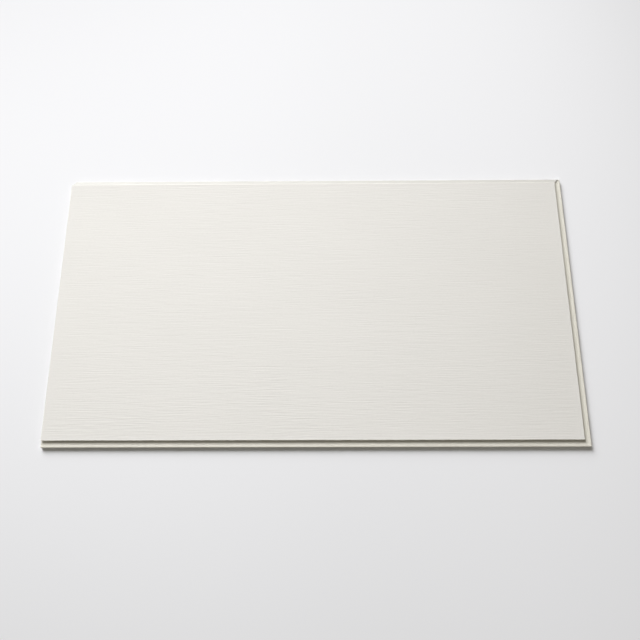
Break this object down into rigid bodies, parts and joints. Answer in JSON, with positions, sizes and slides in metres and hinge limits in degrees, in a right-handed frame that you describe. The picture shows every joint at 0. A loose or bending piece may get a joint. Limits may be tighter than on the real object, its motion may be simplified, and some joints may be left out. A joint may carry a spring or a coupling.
{
  "type": "pvc wall panel",
  "caption": "Rigid foamed PVC wall panel with a finely grained cream face, groove and locking lip on one long edge, tongue on the other, and half-lapped short edges.",
  "frame": {"origin": "middle of the overall outline, lips and tongue included, on the back of the panel", "axes": "+X along the grain towards the lapped lip, +Y across the grain towards the tongue, +Z out of the decorative face"},
  "size_m": [1.235, 0.6644, 0.012],
  "materials": {
    "panel": "matt embossed film, satin foamed PVC on the edges"
  },
  "bodies": {
    "root": {"panel": "panel"}
  },
  "joints": []
}
